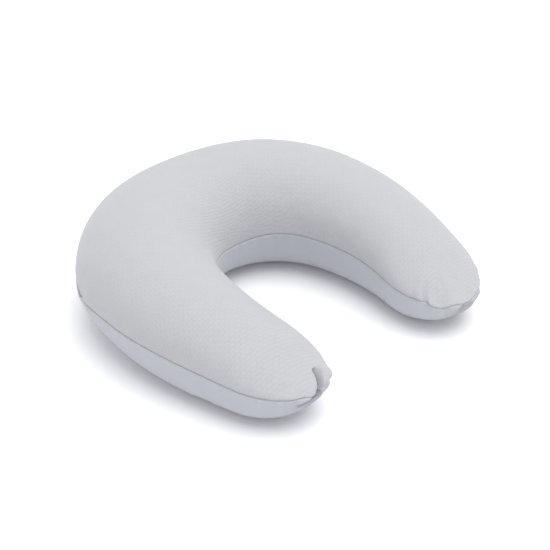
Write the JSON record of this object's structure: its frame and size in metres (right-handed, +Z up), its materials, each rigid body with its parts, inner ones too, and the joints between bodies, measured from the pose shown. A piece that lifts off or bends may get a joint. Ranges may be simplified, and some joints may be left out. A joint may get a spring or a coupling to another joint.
{
  "type": "nursing pillow",
  "caption": "C-shaped cushion for the lap: a fibre-filled inner pillow in a removable knitted cover with a zip round its back.",
  "frame": {"origin": "on the surface it lies on, below the middle of its bounding box", "axes": "+X from one arm to the other, across the width; +Y from the open side of the C to its back; +Z up, out of the crown of the cushion"},
  "size_m": [0.5694, 0.559, 0.1816],
  "materials": {
    "cover_top": "pale grey textured knit with short broken ribs, matt",
    "cover_bottom": "pale blue-grey smooth jersey, matt",
    "cover_thread": "polyester sewing thread, slight sheen",
    "label": "blank white satin tape",
    "inner_case": "plain white woven cloth",
    "fill": "loose white polyester fibre",
    "zip_tape": "pale grey woven tape",
    "zip_coil": "pale grey nylon coil",
    "zip_metal": "nickel-plated zinc"
  },
  "bodies": {
    "pillow": {"cover_top_panel": "cover_top", "cover_bottom_panel": "cover_bottom", "cover_seam_thread": "cover_thread", "care_label": "label", "inner_case_top": "inner_case", "inner_case_bottom": "inner_case", "inner_case_seam_thread": "inner_case", "fibre_fill": "fill", "zip_tape_upper": "zip_tape", "zip_tape_lower": "zip_tape", "zip_coil_upper": "zip_coil", "zip_coil_lower": "zip_coil", "zip_stop_left": "zip_metal", "zip_stop_right": "zip_metal"},
    "zip_slider": {"zip_slider": "zip_metal"},
    "zip_pull": {"zip_pull_tab": "zip_metal"}
  },
  "joints": [
    {"name": "zip_slide", "type": "hinge", "parent": "pillow", "child": "zip_slider", "pos_m": [0, -0.0135, 0.079], "axis": [0, 0, 1], "range_deg": [0, 124]},
    {"name": "pull_swing", "type": "hinge", "parent": "zip_slider", "child": "zip_pull", "pos_m": [0.25915, 0.12429, 0.079], "axis": [0, 0, -1], "range_deg": [0, 150]}
  ]
}
